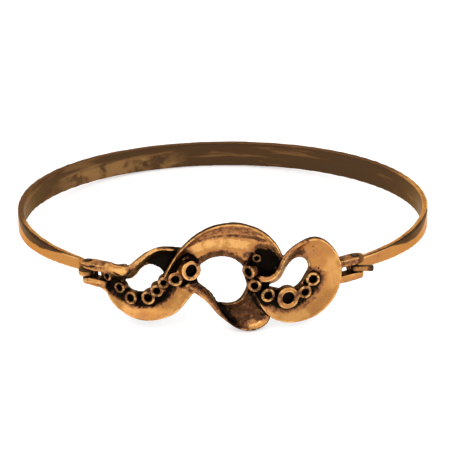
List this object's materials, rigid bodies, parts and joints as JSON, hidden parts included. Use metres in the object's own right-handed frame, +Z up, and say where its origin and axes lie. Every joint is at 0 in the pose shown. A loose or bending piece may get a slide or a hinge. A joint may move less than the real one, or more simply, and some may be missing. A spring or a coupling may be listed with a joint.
{
  "type": "hinged bronze bangle bracelet with openwork front",
  "caption": "Hinged bronze bangle: a springy oval band with an openwork front of waved ribbons and small tube rings, on a pin hinge with a hook clasp.",
  "frame": {"origin": "on the floor, under the middle of the bangle's bounding box, as it lies at rest", "axes": "+X across the bangle from the hinge to the clasp, +Y from the openwork front to the back of the band, +Z up"},
  "size_m": [0.064, 0.0524, 0.0175],
  "materials": {
    "ornament_bronze": "polished cast bronze with dark patina in the hollows",
    "band_bronze": "brushed and worn bronze strip, darker inside",
    "pin_bronze": "worn bronze"
  },
  "bodies": {
    "band": {"band": "band_bronze"},
    "front": {"ornament": "ornament_bronze", "hinge_pin": "pin_bronze", "clasp_bar": "pin_bronze"}
  },
  "joints": [
    {"name": "front_hinge", "type": "hinge", "parent": "band", "child": "front", "pos_m": [-0.0198, -0.01939, 0.00656], "axis": [0.0122, -0.1031, -0.9946], "range_deg": [0, 95]}
  ]
}
